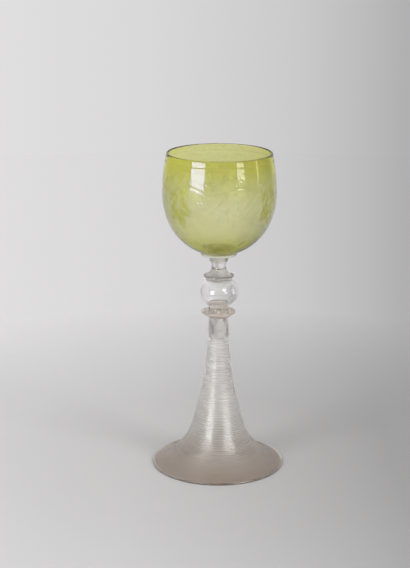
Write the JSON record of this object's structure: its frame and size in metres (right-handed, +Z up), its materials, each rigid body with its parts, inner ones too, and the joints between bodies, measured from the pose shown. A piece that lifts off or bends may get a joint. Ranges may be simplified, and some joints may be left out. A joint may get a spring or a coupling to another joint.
{
  "type": "roemer glass",
  "caption": "Tall stemmed wine glass with a rounded green bowl cut with vines, a clear knopped stem and a hollow trumpet foot wound with glass thread.",
  "frame": {"origin": "centre of the foot's rim, on the surface that the glass stands on", "axes": "+Z up along the axis of the glass, +Y away from the viewer of the picture, +X to the right"},
  "size_m": [0.0896, 0.0896, 0.215],
  "materials": {
    "bowl_glass": "polished yellow-green glass with a frosted wheel-cut vine",
    "stem_glass": "polished clear glass",
    "foot_glass": "clear glass with a faint warm tint, ribbed by the wound thread"
  },
  "bodies": {
    "root": {"bowl": "bowl_glass", "bowl_pad": "stem_glass", "neck_ring": "stem_glass", "stem_neck": "stem_glass", "upper_collar": "stem_glass", "knop_ring": "stem_glass", "ball_knop": "stem_glass", "lower_collar": "foot_glass", "foot": "foot_glass", "foot_thread": "foot_glass", "tear_drop_1": "stem_glass", "tear_drop_2": "stem_glass", "tear_drop_3": "stem_glass", "tear_drop_4": "stem_glass", "tear_drop_5": "stem_glass", "tear_drop_6": "stem_glass"}
  },
  "joints": []
}
